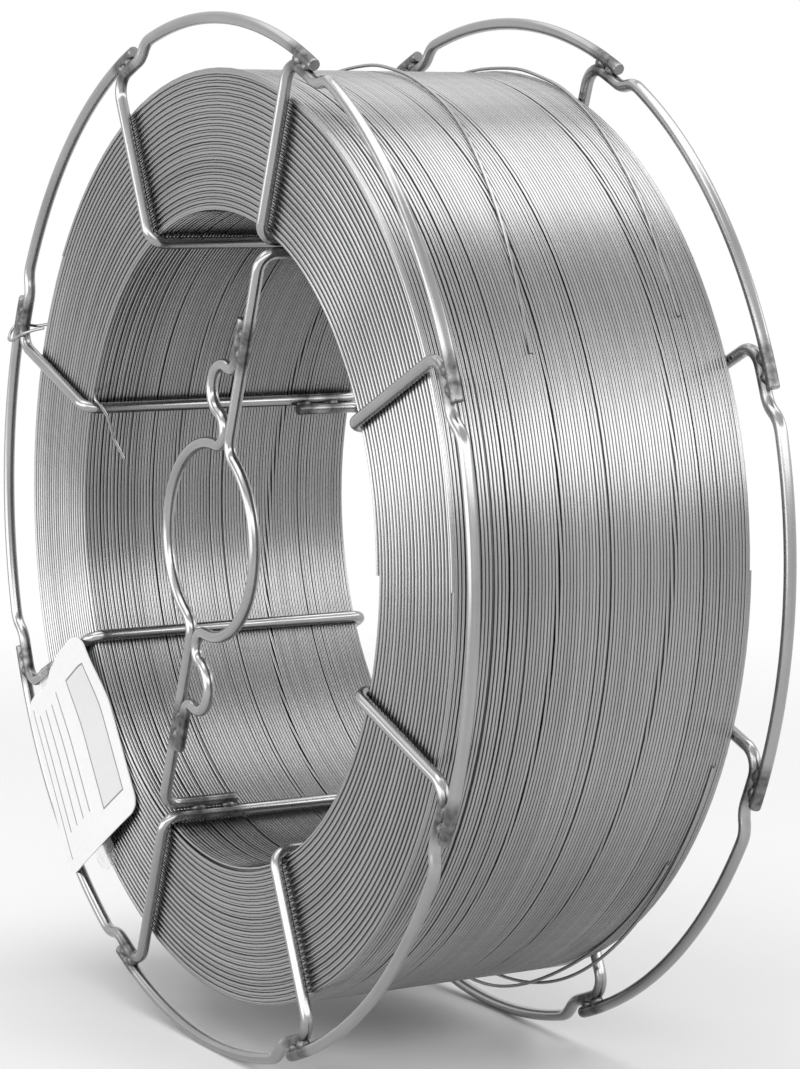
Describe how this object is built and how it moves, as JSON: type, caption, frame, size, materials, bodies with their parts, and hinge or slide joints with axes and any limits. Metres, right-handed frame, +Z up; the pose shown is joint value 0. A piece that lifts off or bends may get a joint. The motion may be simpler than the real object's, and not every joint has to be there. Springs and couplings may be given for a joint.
{
  "type": "welding wire spool",
  "caption": "Wire basket spool holding a full coil of thin bright welding wire, with hub loops for a feeder's spindle and a blank hanging card.",
  "frame": {"origin": "on the spool's axis, midway between the flanges", "axes": "+Y along the spindle's axis towards the far flange, +Z up as the spool stands, +X to the right of someone who faces the near flange"},
  "size_m": [0.3, 0.1008, 0.3],
  "materials": {
    "coil_wire": "bright drawn wire, layer wound",
    "basket_wire": "drawn steel wire, spot welded",
    "card": "printed card in a clear cover"
  },
  "bodies": {
    "root": {"wire_coil": "coil_wire", "label_tag": "card", "basket_wire_1": "basket_wire", "basket_wire_2": "basket_wire", "basket_wire_3": "basket_wire", "basket_wire_4": "basket_wire", "basket_wire_5": "basket_wire", "basket_wire_6": "basket_wire", "basket_wire_7": "basket_wire", "basket_wire_8": "basket_wire", "near_hub_wire_a": "basket_wire", "near_hub_wire_b": "basket_wire", "far_hub_wire_a": "basket_wire", "far_hub_wire_b": "basket_wire"}
  },
  "joints": []
}
